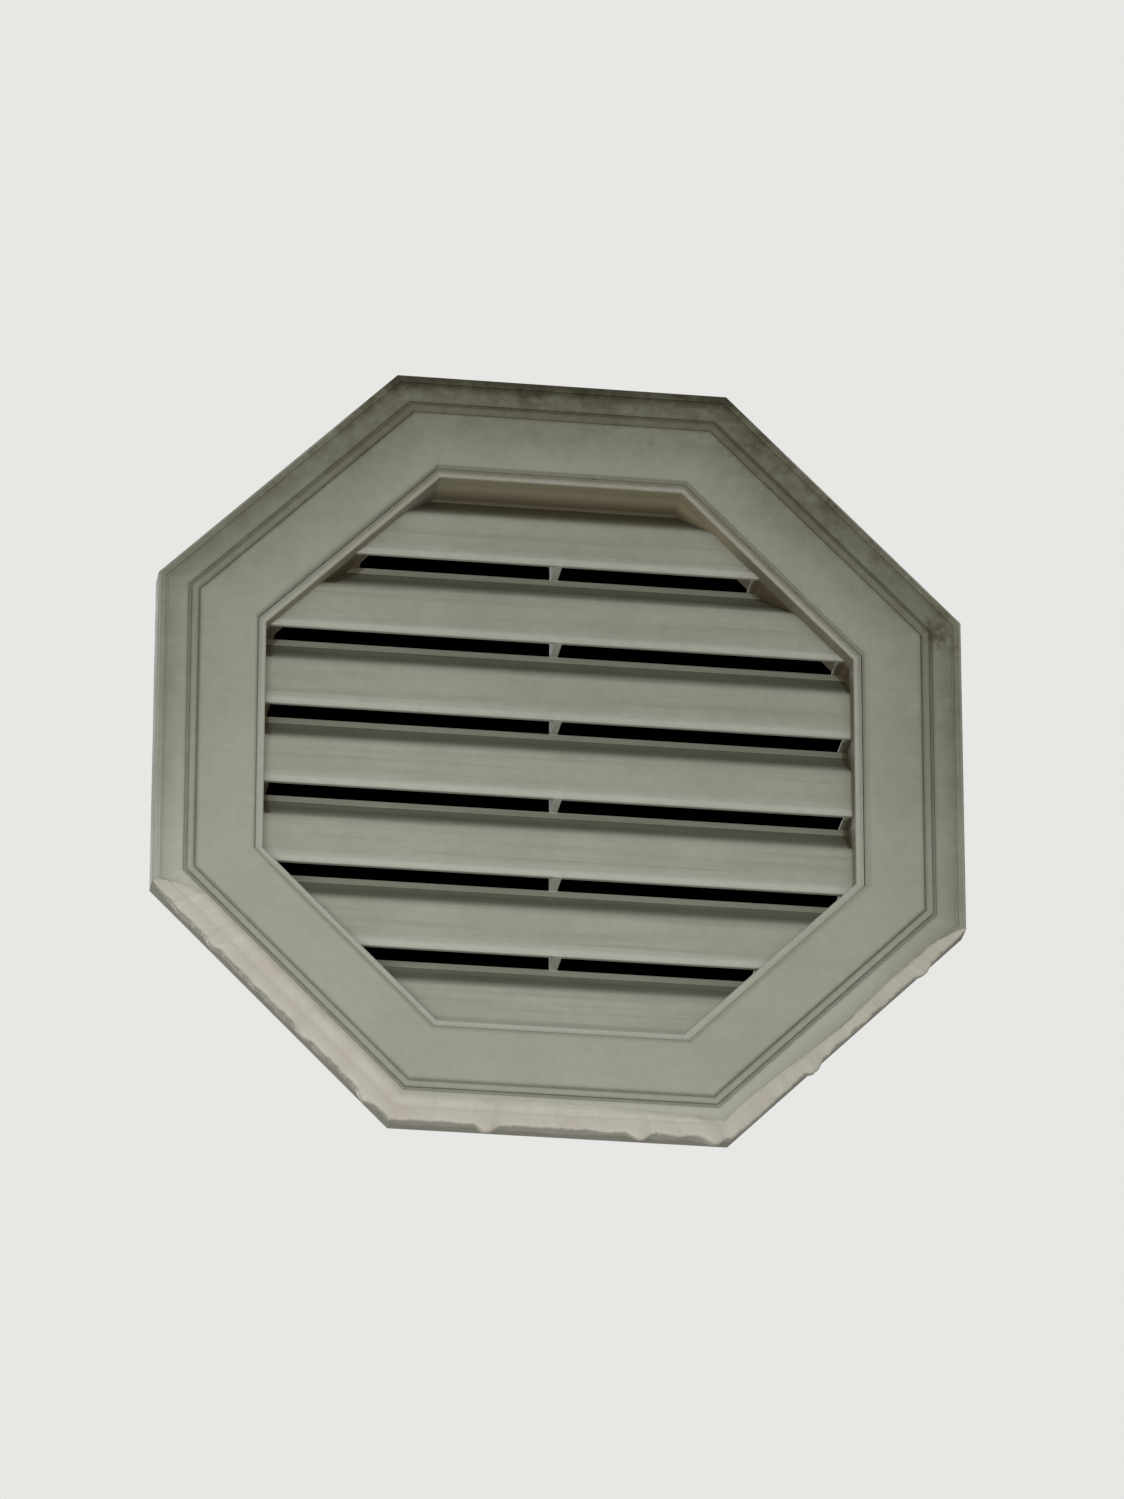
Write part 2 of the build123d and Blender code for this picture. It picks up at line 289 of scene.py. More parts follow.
# Dirt and painted shade on the louvres' slopes, spared on their dams and beside the rib
SLOPE_DIRT_AND_SHADE = (LIP_FRONT + 0.001, 0.004, 0.0, 0.66)
DAM_SPARED = (0.006, 0.016, 1.0, 0.55)
RIB_SPARED = (0.0, 1.0, 1.0, 0.05)
SLOPE_SIDES = (OPENING_HALF + 0.0016, OPENING_HALF + 0.0008)
SLOPE_STREAKS = (0.2, 0.8, 0.85, 1.1)
JOINT_SIDES = (OPENING_HALF + 0.0002, OPENING_HALF - 0.0002)
JOINT_HEIGHTS = (0.178, 0.188)
JOINT_DEPTHS = (0.002, 0.010, 0.0, 0.80)
SLOT_END_WIDTHS = (0.0, -0.01, 0.0030, 0.0075)
SLOT_END_NEAR = (1.0, 0.7, 0.0, 0.90)
SLOT_END_DEPTHS = (LIP_FRONT + 0.0012, LIP_FRONT + 0.0035)
SLOT_END_HEIGHTS = (0.170, 0.160)

# On the wall of the opening and the nosing around it
NOSING_INNER = (OPENING_HALF - 0.0008, OPENING_HALF - 0.0002)
NOSING_OUTER = (NOSING_HALF, NOSING_HALF - 0.0006)
NOSING_FACE = (NOSING_FRONT + NOSING_DEPTH, NOSING_FRONT + 0.5 * NOSING_DEPTH)
NOSING_SHARE = 0.9
WALL_FROM = (OPENING_HALF - 0.0010, OPENING_HALF - 0.0002)
WALL_DEPTHS = (NOSING_FRONT + 0.3 * NOSING_DEPTH, NOSING_FRONT + 1.6 * NOSING_DEPTH)
WALL_ABOVE = (-0.55, 0.2, 0.25, 0.92)
WALL_MOTTLE = (0.25, 0.75, 0.8, 1.1)
CEILING_BACK = (0.009, 0.018, 0.0, 0.50)
CEILING_FRONT = (-0.003, -0.008, 0.0, 0.30)
CEILING_FROM = (0.86, 0.96)
WALL_ACROSS = (-0.12, 0.12)

# On the casing's grooves, with their dirt and painted shade: each one's half size and reach, and
# its shares below and above
GROOVES = (
    (SEAM_HALF - 0.0007, 0.0036, 0.06, 0.50),
    (SCORE_HALF, 0.0034, 0.28, 0.28),
    (STRIP_HALF, 0.0030, 0.05, 0.35),
    (QUIRK_HALF, 0.0036, 0.30, 0.42),
)
GROOVE_CORE = 0.15
GROOVES_UP = (-0.3, 0.9)
GROOVES_FRONT = (NOSING_FRONT + 0.0010, NOSING_FRONT)
GROOVES_UNEVEN = (0.2, 0.8, 0.8, 1.15)
SEAM_EDGE_HALF = SEAM_HALF + 0.0025
SEAM_EDGE_NEAR = (0.0024, 0.0004)
SEAM_EDGE_UP = (-0.2, 0.95, 0.17, 0.05)
SEAM_EDGE_ACROSS = (-0.212, -0.185)
SEAM_NEAR = (0.0012, 0.0005)
SEAM_BACK = (NOSING_FRONT + 0.0016, NOSING_FRONT + 0.0006)
SEAM_FRONT = (NOSING_FRONT - 0.0034, NOSING_FRONT - 0.0022)
SEAM_SHARE = 0.30

# On the casing's band and outer wall
# Grime and painted shade over the casing
SOOT_AND_SHADE_OUTWARD = (0.213, 0.276)
SOOT_AND_SHADE_CURVE = 1.15
SOOT_AND_SHADE_LEAST = 0.13
SOOT_AND_SHADE_UP = (-0.5, 1.0)
SOOT_AND_SHADE_RISE = 1.2
SOOT_AND_SHADE_MOST = 0.97
SOOT_AND_SHADE_DRIPS = (0.25, 0.75, 0.97, 1.02)
OUTER_WALL_HALF = (OUTER_WALL - 0.0005, OUTER_WALL + 0.0005)
OUTER_WALL_DEPTHS = (-0.019, -0.014)
SHELTERED_SHARE = 0.45
TOP_EDGE_HALF = (0.266, 0.274)
TOP_EDGE_UP = (0.955, 0.995)
TOP_EDGE_SHARE = 0.7
# Painted highlight on the casing's outer edge
EDGE_HIGHLIGHT_HALF = (OUTER_WALL - 0.0006, OUTER_WALL + 0.0006)
EDGE_HIGHLIGHT_DEPTHS = (EDGE_FRONT + 0.0030, EDGE_FRONT + 0.0020)
EDGE_HIGHLIGHT_UP = (0.97, 0.80)
EDGE_HIGHLIGHT_SHARE = 0.50
RIM_HALF = (0.261, 0.271)
RIM_UP = (0.7, 0.3)
RIM_SHARE = 0.17
# Painted highlight on the casing's lower band
PALE_BAND_HALF = (0.2570, 0.2590)
PALE_BAND_UP = (-0.15, -0.60)
PALE_BAND_SHARE = 0.45
STAIN_PLACE = (0.2605, 0.1070)
STAIN_SIZE = 0.013
STAIN_TALL = 0.7  # heights count for less, so the stain is taller than it is wide
STAIN_NOISE = (170.0, 5.0, 0.65)
STAIN_RAGGED = (0.3, 0.7, -0.5 * STAIN_SIZE, 0.5 * STAIN_SIZE)
STAIN_SHARE = 0.90
# Dirt and painted shade caught in corners and grooves
CREVICE_REACH = 0.009
CREVICE_DIRT_AND_SHADE = (0.80, 0.25, 0.0, 0.30)
CREVICE_UP = (-1.0, 0.3, 0.2, 1.0)


class PlasticGraph(Graph):
    """Shader nodes of the plastic, with the measures and noises that its layers share."""

    def __init__(self, name):
        super().__init__(name)
        self.half = self.octagon_half()
        leaning = self.math("ADD", self.z, self.math("MULTIPLY", self.x, GRIME_AND_SHADE_LEAN))
        self.upness = self.over_half(leaning, UPNESS_LEAST)
        self.upward = self.over_half(self.z, UPWARD_LEAST)
        self.mottle = self.noise(self.place, *MOTTLE_NOISE)
        self.speck = self.noise(self.place, *SPECK_NOISE)
        self.streak = self.noise(self.stretched(*STREAK_STRETCH), *STREAK_NOISE)
        self.drip = self.noise(self.stretched(*DRIP_STRETCH), *DRIP_NOISE)
        wide = self.ramp(self.noise(self.place, *WIDE_NOISE), *PATCHES_WIDE)
        fine = self.ramp(self.noise(self.place, *FINE_NOISE), *PATCHES_FINE)
        self.patches = self.product(wide, fine)

    def octagon_half(self):
        """Half size of the octagon that the place lies on."""
        across = self.math("ABSOLUTE", self.x)
        up = self.math("ABSOLUTE", self.z)
        straight = self.math("MAXIMUM", across, up)
        slanted = self.math("MULTIPLY", self.math("ADD", across, up), sqrt(0.5))
        return self.math("MAXIMUM", straight, slanted)

    def over_half(self, height, least):
        """A height over the place's half size, which is about 1 on the octagon's top side."""
        return self.math("DIVIDE", height, self.math("ADD", self.half, least))

    def above_lip(self):
        """Height of the place above the lower edge of the louvre that it belongs to."""
        height = self.math("SUBTRACT", self.z, LOWEST_LIP)
        return self.math("FLOORED_MODULO", height, LOUVRE_PITCH)


def weathered_plastic(name, streaks):
    """Off-white moulded plastic: mottled, streaked by rain, grimy and with painted shade in its
    depths and up high, and with painted highlights on its lips and edges.
    """
    g = PlasticGraph(name)
    nosing_highlight_tone = g.mix(g.line(g.upness, *NOSING_TONE), NOSING_PALE, NOSING_CREAM)
    colour = g.mix(g.ramp(g.mottle, *MOTTLE_DULL), PLASTIC, PLASTIC_DULL)
    for share, over in (
        (g.ramp(g.streak, *STREAK_ENDS, 0.0, streaks), PLASTIC_STREAK),
        (painted_highlight_share(g), HIGHLIGHT_PALE),
        (nosing_highlight_share(g), nosing_highlight_tone),
        (soot_and_shade_share(g), GRIME_AND_SHADE_GREY),
        (top_edge_share(g), TOP_EDGE_BLACK),
        (edge_highlight_share(g), HIGHLIGHT_PALE),
        (rim_shade_share(g), GRIME_AND_SHADE_GREY),
        (g.line(g.speck, *SPECKS), GRIME_AND_SHADE_OLIVE),
        (groove_dirt_and_shade_share(g), GRIME_AND_SHADE_OLIVE),
        (seam_edge_shade_share(g), GRIME_AND_SHADE_OLIVE),
        (slope_dirt_and_shade_share(g), GRIME_AND_SHADE_OLIVE),
        (wall_stain_and_shade_share(g), wall_stain_and_shade_colour(g)),
        (slot_end_shade_share(g), GRIME_AND_SHADE_BROWN),
        (joint_shade_share(g), GRIME_AND_SHADE_BROWN),
        (crevice_dirt_and_shade_share(g), GRIME_AND_SHADE_OLIVE),
        (seam_painted_light_share(g), SEAM_PAINTED_LIGHT),
        (stain_share(g), STAIN_BROWN),
    ):
        colour = g.mix(share, colour, over)
    normal = g.bump(g.speck, GRAIN_STRENGTH, GRAIN_DEPTH)
    normal = g.bump(g.streak, STREAK_STRENGTH * streaks, STREAK_DEPTH, normal)
    return g.surface(colour, g.ramp(g.mottle, *ROUGHNESS), normal)


def painted_highlight_share(g):
    """How much a place has a painted highlight: the louvres' lips, the rib and the casing's lower
    band.
    """
    height = g.above_lip()
    low = g.product(g.ramp(height, *LIP_HIGHLIGHT_TOP), g.ramp(height, *LIP_HIGHLIGHT_FOOT))
    front = g.ramp(g.y, *LIP_HIGHLIGHT_FRONT)
    lip = g.product(low, front, g.ramp(g.half, *WITHIN_OPENING), LIP_HIGHLIGHT_SHARE)
    band = g.ramp(g.half, *PALE_BAND_HALF)
    band = g.product(band, g.ramp(g.upness, *PALE_BAND_UP), PALE_BAND_SHARE)
    return g.math("MAXIMUM", g.math("MAXIMUM", lip, rib_share(g)), band)


def rib_share(g):
    """How much a place is on the rib where it crosses the air slots."""
    height = g.above_lip()
    level = g.math("MINIMUM", height, g.math("SUBTRACT", LOUVRE_PITCH, height))
    middle = g.ramp(g.math("ABSOLUTE", g.x), *RIB_SIDES)
    return g.product(middle, g.ramp(level, *RIB_LEVELS), g.ramp(g.half, *WITHIN_OPENING))


def nosing_highlight_share(g):
    """How much a place is on the front of the nosing, which has a painted highlight, paler on the
    sides and below.
    """
    width = g.product(g.ramp(g.half, *NOSING_INNER), g.ramp(g.half, *NOSING_OUTER))
    return g.product(width, g.ramp(g.y, *NOSING_FACE), NOSING_SHARE)


def soot_and_shade_share(g):
    """How much a place is in the grime and painted shade that thicken outward and upward over the
    casing.
    """
    outward = g.math("POWER", g.line(g.half, *SOOT_AND_SHADE_OUTWARD), SOOT_AND_SHADE_CURVE)
    thick = g.line(outward, 0.0, 1.0, SOOT_AND_SHADE_LEAST, 1.0)
    above = g.product(SOOT_AND_SHADE_MOST, g.math("POWER", g.line(g.upness, *SOOT_AND_SHADE_UP), SOOT_AND_SHADE_RISE))
    outer_wall = g.product(g.ramp(g.half, *OUTER_WALL_HALF), g.ramp(g.y, *OUTER_WALL_DEPTHS))
    sheltered = g.line(outer_wall, 0.0, 1.0, 1.0, SHELTERED_SHARE)
    return g.product(thick, above, g.patches, sheltered, g.ramp(g.drip, *SOOT_AND_SHADE_DRIPS))


def top_edge_share(g):
    """How much a place is darkened to near black along the casing's top edge."""
    edge = g.product(g.ramp(g.half, *TOP_EDGE_HALF), g.ramp(g.upward, *TOP_EDGE_UP))
    return g.product(edge, g.patches, TOP_EDGE_SHARE)


def edge_highlight_share(g):
    """How much a place is in the painted highlight on the casing's outer edge, paler than its band.
    """
    edge = g.product(g.ramp(g.half, *EDGE_HIGHLIGHT_HALF), g.ramp(g.y, *EDGE_HIGHLIGHT_DEPTHS))
    return g.product(edge, g.ramp(g.upward, *EDGE_HIGHLIGHT_UP), EDGE_HIGHLIGHT_SHARE)


def rim_shade_share(g):
    """How much a place is in the thin painted shade on the casing's band, on its sides and below.
    """
    rim = g.product(g.ramp(g.half, *RIM_HALF), g.ramp(g.upness, *RIM_UP))
    return g.product(rim, g.patches, RIM_SHARE)


def groove_dirt_and_shade_share(g):
    """How much a place is in the dirt and painted shade along the casing's seam, score, strip and
    quirk.
    """
    grooves = 0.0
    for middle, reach, below, above in GROOVES:
        depth = g.line(g.upness, *GROOVES_UP, below, above)
        near = g.ramp(g.away(g.half, middle), reach, GROOVE_CORE * reach)
        grooves = g.math("ADD", grooves, g.product(depth, near))
    front = g.ramp(g.y, *GROOVES_FRONT)
    return g.product(grooves, front, g.line(g.speck, *GROOVES_UNEVEN))


def seam_edge_shade_share(g):
    """How much a place is in the painted shade on the inner edge, less above and none on the left
    side.
    """
    near = g.ramp(g.away(g.half, SEAM_EDGE_HALF), *SEAM_EDGE_NEAR)
    return g.product(near, g.line(g.upness, *SEAM_EDGE_UP), g.ramp(g.x, *SEAM_EDGE_ACROSS))


def seam_painted_light_share(g):
    """How much a place is at the bottom of the seam around the nosing, where painted light lifts
    its shade.
    """
    near = g.ramp(g.away(g.half, SEAM_HALF), *SEAM_NEAR)
    return g.product(near, g.ramp(g.y, *SEAM_BACK), g.ramp(g.y, *SEAM_FRONT), SEAM_SHARE)


def slope_dirt_and_shade_share(g):
    """How much a place is in the dirt and painted shade on the louvres' slopes, less on their dams
    and on the rib.
    """
    slope = g.product(g.ramp(g.y, *SLOPE_DIRT_AND_SHADE), g.ramp(g.y, *DAM_SPARED))
    beside_rib = g.line(rib_share(g), *RIB_SPARED)
    inside = g.ramp(g.half, *SLOPE_SIDES)
    return g.product(slope, beside_rib, inside, g.ramp(g.streak, *SLOPE_STREAKS))


def wall_stain_and_shade_share(g):
    """How much a place is on the inner wall of the opening, which is stained and painted in shade,
    browner above.
    """
    wall = g.product(g.ramp(g.half, *WALL_FROM), g.ramp(g.half, *UP_TO_WALL))
    above = g.line(g.upness, *WALL_ABOVE)
    return g.product(wall, g.ramp(g.y, *WALL_DEPTHS), above, g.ramp(g.mottle, *WALL_MOTTLE))


def wall_stain_and_shade_colour(g):
    """Colour of the opening's inner wall, stain and painted shade: khaki on the ceiling, browner
    towards the back and just behind the nosing, and tan to brown beside it.
    """
    ceiling = g.mix(g.ramp(g.y, *CEILING_BACK), WALL_KHAKI, GRIME_AND_SHADE_BROWN)
    ceiling = g.mix(g.ramp(g.y, *CEILING_FRONT), ceiling, GRIME_AND_SHADE_BROWN)
    beside = g.mix(g.ramp(g.x, *WALL_ACROSS), WALL_TAN, WALL_BROWN)
    return g.mix(g.ramp(g.upness, *CEILING_FROM), beside, ceiling)


def slot_end_shade_share(g):
    """How much a place is in the painted shade in the corners at the ends of the air slots, wider
    on the left.
    """
    width = g.ramp(g.x, *SLOT_END_WIDTHS)
    inward = g.math("SUBTRACT", OPENING_HALF, g.half)
    near = g.ramp(g.math("DIVIDE", inward, width), *SLOT_END_NEAR)
    behind = g.ramp(g.y, *SLOT_END_DEPTHS)
    return g.product(near, g.ramp(g.half, *UP_TO_WALL), behind, g.ramp(g.z, *SLOT_END_HEIGHTS))


def joint_shade_share(g):
    """How much a place is in the painted shade in the joint between the top louvre and the ceiling.
    """
    height = g.ramp(g.z, *JOINT_HEIGHTS)
    return g.product(height, g.ramp(g.y, *JOINT_DEPTHS), g.ramp(g.half, *JOINT_SIDES))


def crevice_dirt_and_shade_share(g):
    """How much a place is in the dirt and painted shade caught in corners and grooves."""
    caught = g.ramp(g.crevice(CREVICE_REACH), *CREVICE_DIRT_AND_SHADE)
    return g.product(caught, g.line(g.upness, *CREVICE_UP))


def stain_share(g):
    """How much a place is in the ragged stain at the upper right corner."""
    ragged = g.noise(g.place, *STAIN_NOISE)
    across = g.math("SUBTRACT", g.x, STAIN_PLACE[0])
    up = g.math("MULTIPLY", g.math("SUBTRACT", g.z, STAIN_PLACE[1]), STAIN_TALL)
    away = g.math("SQRT", g.math("ADD", g.product(across, across), g.product(up, up)))
    away = g.math("ADD", away, g.line(ragged, *STAIN_RAGGED))
    return g.ramp(away, STAIN_SIZE, 0.0, 0.0, STAIN_SHARE)


# Screen and sealant
DUST_SCALE = 60.0
DUST = (0.5, 0.8, 0.0, 0.25)
SCREEN_ROUGHNESS = 0.6
SEALANT_NOISE = (38.0, 4.0)
SEALANT_GRAIN = (420.0, 3.0)
SEALANT_MOTTLE = (0.40, 0.75, 0.0, 0.8)
SEALANT_REACH = 0.005
SEALANT_DEEP_BROWN = (0.75, 0.25, 0.0, 0.6)
SEALANT_ROUGHNESS = (0.3, 0.7, 0.40, 0.58)
SEALANT_GRAIN_STRENGTH = 0.25
SEALANT_SPECULAR = 0.4


def screen_plastic():
    """Black coated mesh with a little pale dust."""
    g = Graph("screen_black")
    dust = g.ramp(g.noise(g.place, DUST_SCALE), *DUST)
    return g.surface(g.mix(dust, SCREEN_BLACK, SCREEN_DUST), SCREEN_ROUGHNESS)


def cured_sealant():
    """Cream sealant, browner where it is deep."""
    g = Graph("cured_sealant")
    mottle = g.noise(g.place, *SEALANT_NOISE)
    grain = g.noise(g.place, *SEALANT_GRAIN)
    colour = g.mix(g.ramp(mottle, *SEALANT_MOTTLE), SEALANT_CREAM, SEALANT_DULL)
    colour = g.mix(g.ramp(g.crevice(SEALANT_REACH), *SEALANT_DEEP_BROWN), colour, GRIME_AND_SHADE_BROWN)
    normal = g.bump(grain, SEALANT_GRAIN_STRENGTH, GRAIN_DEPTH)
    return g.surface(colour, g.ramp(mottle, *SEALANT_ROUGHNESS), normal, SEALANT_SPECULAR)


def add_object(name, vertices, faces, material):
    """New object with one material, linked to the scene."""
    mesh = bpy.data.meshes.new(name)
    mesh.from_pydata(vertices, [], faces)
    mesh.materials.append(material)
    added = bpy.data.objects.new(name, mesh)
    bpy.context.scene.collection.objects.link(added)
    return added


def add_piece(name, vertices, faces, material, node):
    """New smooth piece of the vent that stands for a solid."""
    piece = add_object(name, vertices, faces, material)
    piece.data.polygons.foreach_set("use_smooth", [True] * len(faces))
    piece.data.update()
    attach(piece, "root")
    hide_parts(node)


# Insect screen: two layers of straight wires
SCREEN_HALF = screen_high.x
WIRE_PITCH = 0.0022
WIRE_RADIUS = 0.00021
WIRE_SIDES = 6
FIRST_LAYER = 1.05 * WIRE_RADIUS
NEXT_LAYER = 1.7 * WIRE_RADIUS


def half_span(half, height):
    """Half the width of an octagon of this half size at a height above its centre."""
    return min(half, half + half * CORNER - abs(height))


def wire(start, end, across):
    """Points and faces of one straight round wire between two points."""
    side = Vector((0, 1, 0))
    points = []
    for centre in (Vector(start), Vector(end)):
        for step in range(WIRE_SIDES):
            turn = 2 * pi * step / WIRE_SIDES
            points.append(centre + WIRE_RADIUS * (cos(turn) * across + sin(turn) * side))
    faces = [
        (k, (k + 1) % WIRE_SIDES, WIRE_SIDES + (k + 1) % WIRE_SIDES, WIRE_SIDES + k)
        for k in range(WIRE_SIDES)
    ]
    faces.append(tuple(reversed(range(WIRE_SIDES))))
    faces.append(tuple(range(WIRE_SIDES, 2 * WIRE_SIDES)))
    return points, faces


def insect_screen(material):
    """Mesh of crossing wires, cut to the octagon behind the louvres."""
    vertices, faces = [], []
    front = screen_low.y + FIRST_LAYER
    back = front + NEXT_LAYER
    half = SCREEN_HALF - WIRE_RADIUS
    count = int(half / WIRE_PITCH)
    for index in range(-count, count + 1):
        place = index * WIRE_PITCH
        reach = half_span(half, place)
        for start, end, across in (
            ((-reach, front, place), (reach, front, place), Vector((0, 0, 1))),
            ((place, back, -reach), (place, back, reach), Vector((1, 0, 0))),
        ):
            points, sides = wire(start, end, across)
            faces += [tuple(len(vertices) + k for k in face) for face in sides]
            vertices += points
    add_piece("woven_insect_screen", vertices, faces, material, "insect_screen")


# Sealant smeared by hand over the lower right (0), bottom (1) and lower left (2) sides. It is made
# of columns, so many to a side, each with points across and the front ones first. A lump has its
# side, its place along it and its height.
SMEAR_COLUMNS = 300
SMEAR_ACROSS = 26
SMEAR_FRONT = 17
SMEAR_COVERS = (0.0080, 0.0165, 0.0198)
SMEAR_LUMPS = (
    (0, 0.036, 0.004), (0, -0.070, 0.003), (1, 0.050, 0.006), (1, -0.052, 0.0045),
    (1, -0.102, 0.0055), (2, -0.032, 0.0035), (2, -0.092, 0.004), (2, 0.055, 0.002),
)
LUMP_WIDTH = 0.010
LUMP_SWELL = 0.25
SMEAR_THICK = 0.0017
SMEAR_OVERHANG = 0.0015
SMEAR_SKIRT = 0.0105
SMEAR_BRIDGE = 0.0026
SMEAR_EDGE = 0.0018
SMEAR_TUCK = 0.85
TUCK_CURVE = 2.5
BLEND_FROM = 0.2
BEFORE_RING = -0.2

# The smear tapers at its two ends, by a length in sides. Its front starts thin, and is rounded off
# on its outer part.
END_LENGTH = 1 / 9
END_LEAST = 0.02
SWELL_START = 0.15
SWELL_RISE = 5
ROUNDED_FROM = 0.8
ROUNDED_FALL = 12

# Unevenness of the smear: the height, size and seed of each layer of noise, and what all layers
# share, which is how the noise falls off, how its octaves step and how many there are
FRACTAL = (1.0, 2.0, 4)
RAGGED_OUTER = ((0.0010, 0.012, 3.0), (0.0006, 0.004, 5.0))
RAGGED_INNER = ((0.0016, 0.035, 9.0), (0.0003, 0.006, 1.0))
UNEVEN_THICK = ((0.5, 0.015, 7.0),)
UNEVEN_SKIRT = ((0.004, 0.018, 2.0),)


def lower_side_point(side, along, half):
    """Point along the lower right (0), bottom (1) or lower left (2) side. (x, z)"""
    turn = radians(135 + 45 * side)
    return half * sin(turn) + along * cos(turn), half * cos(turn) - along * sin(turn)


def rough(x, z, layers):
    """Sum of layers of fractal noise, each with its own height, size of features and seed."""
    return sum(
        height * noise.fractal(Vector((x / size, z / size, seed)), *FRACTAL)
        for height, size, seed in layers
    )


def smear_cover(side, along):
    """How far the smear reaches in over the casing, blended from side to side at the corners."""
    beside = min(max(side + (1 if along > 0 else -1), 0), 2)
    outward = max(0.0, abs(along) / (CASING_HALF * CORNER) - BLEND_FROM)
    share = 0.5 * outward / (1 - BLEND_FROM)
    return SMEAR_COVERS[side] * (1 - share) + SMEAR_COVERS[beside] * share


def lump_height(side, along):
    """How far the smear's lumps stand out at a place along a side."""
    return sum(
        height * max(0.0, 1 - ((along - middle) / LUMP_WIDTH) ** 2) ** 2
        for lump_side, middle, height in SMEAR_LUMPS if lump_side == side
    )


def front_swell(share):
    """The smear's thickness at a share of the way out over its front: thin, full, then rounded."""
    rounded = 1 - max(0.0, share - ROUNDED_FROM) ** 2 * ROUNDED_FALL
    return min(1.0, SWELL_START + share * SWELL_RISE) * rounded


def smear_column(ring, side, along, ends):
    """One cross-section of the smear: from its thin inner edge over the ring and down its wall."""
    x, z = lower_side_point(side, along, CASING_HALF)
    lump = lump_height(side, along)
    cover = smear_cover(side, along) + rough(x, z, RAGGED_INNER)
    inner = CASING_HALF - cover * ends
    outer = CASING_HALF + (SMEAR_OVERHANG + rough(x, z, RAGGED_OUTER) + lump) * ends
    thick = SMEAR_THICK * (1 + rough(x, z, UNEVEN_THICK)) * ends + LUMP_SWELL * lump
    skirt = EDGE_FRONT + (SMEAR_SKIRT + rough(x, z, UNEVEN_SKIRT)) * ends
    column = []
    for step in range(SMEAR_ACROSS):
        if step <= SMEAR_FRONT:
            share = step / SMEAR_FRONT
            half = inner + (outer - inner) * share
            depth = bridged_depth(ring, side, along, half) - thick * front_swell(share)
        else:
            share = (step - SMEAR_FRONT) / (SMEAR_ACROSS - 1 - SMEAR_FRONT)
            half = outer - (outer - CASING_HALF) * SMEAR_TUCK * share ** TUCK_CURVE
            depth = column[SMEAR_FRONT].y + (skirt - column[SMEAR_FRONT].y) * share
        px, pz = lower_side_point(side, along * half / CASING_HALF, half)
        column.append(Vector((px, depth, pz)))
    return column


def surface_depth(ring, side, along, half):
    """Depth of the ring's front surface under a point."""
    x, z = lower_side_point(side, along * half / CASING_HALF, half)
    hit = ring.ray_cast(Vector((x, BEFORE_RING, z)), Vector((0, 1, 0)))[0]
    return hit.y if hit else EDGE_FRONT


def bridged_depth(ring, side, along, half):
    """Depth that a smear has over the ring, where it bridges its valley and rounds its edge."""
    last = CASING_HALF - SMEAR_EDGE
    places = [min(half + share * SMEAR_BRIDGE, last) for share in (-1, -0.5, 0, 0.5, 1)]
    return min(surface_depth(ring, side, along, place) for place in places)


def sealant_smear(material):
    """Ragged, lumpy bead over the casing's three lower sides."""
    ring = BVHTree.FromObject(frame["nodes"]["trim_ring"], bpy.context.evaluated_depsgraph_get())
    columns = []
    for side in range(3):
        for step in range(SMEAR_COLUMNS):
            share = step / SMEAR_COLUMNS
            along = CASING_HALF * CORNER * (2 * share - 1)
            to_end = min(side + share, 3 - side - share)
            ends = min(1.0, to_end / END_LENGTH) ** 0.5
            columns.append(smear_column(ring, side, along, max(ends, END_LEAST)))
    vertices = [point for column in columns for point in column]
    faces = []
    for row in range(len(columns) - 1):
        for k in range(SMEAR_ACROSS - 1):
            a = row * SMEAR_ACROSS + k
            faces.append((a, a + 1, a + SMEAR_ACROSS + 1, a + SMEAR_ACROSS))
    add_piece("sealant_smear", vertices, faces, material, "sealant_bead")


# The attic's darkness lies just clear of the solids: within the opening, beside the rib and behind
# the louvres
ATTIC_HALF = OPENING_HALF - 0.0004
ATTIC_INNER = RIB_HALF + 0.0002
ATTIC_DEPTH = LOUVRE_BACK + 0.0003


def dark_attic():
    """Darkness behind the louvres: black to a view from the front and not there from behind."""
    g = Graph("attic_darkness")
    black = g.add("ShaderNodeEmission", (0, 0, 0, 1))
    clear = g.add("ShaderNodeBsdfTransparent")
    facing = g.add("ShaderNodeNewGeometry").outputs["Backfacing"]
    camera_ray = g.add("ShaderNodeLightPath").outputs["Is Camera Ray"]
    seen = g.math("MULTIPLY", camera_ray, g.math("SUBTRACT", 1.0, facing))
    mixed = g.add("ShaderNodeMixShader", seen, clear.outputs[0], black.outputs[0])
    half, corner = ATTIC_HALF, ATTIC_HALF * CORNER
    outline = [
        (ATTIC_INNER, -half), (corner, -half), (half, -corner),
        (half, corner), (corner, half), (ATTIC_INNER, half),
    ]
    points = [(x, ATTIC_DEPTH, z) for x, z in outline]
    points += [(-x, ATTIC_DEPTH, z) for x, z in reversed(outline)]
    faces = [(0, 1, 2, 3, 4, 5), (6, 7, 8, 9, 10, 11)]
    panel = add_object("attic_darkness", points, faces, g.output(mixed.outputs[0]))


def floor():
    """Plain pale floor, far below because the vent hangs high on a wall."""
    g = Graph("floor_pale")
    matt = g.add("ShaderNodeBsdfDiffuse", colour4(BACKGROUND))
    pale = g.add("ShaderNodeEmission", colour4(BACKGROUND))
    camera_ray = g.add("ShaderNodeLightPath").outputs["Is Camera Ray"]
    mixed = g.add("ShaderNodeMixShader", camera_ray, matt.outputs[0], pale.outputs[0])
    bpy.ops.mesh.primitive_plane_add(size=FLOOR_SIZE, location=(0, 0, FLOOR_HEIGHT))
    plane = bpy.context.object
    plane.name = "floor"
    plane.data.materials.append(g.output(mixed.outputs[0]))


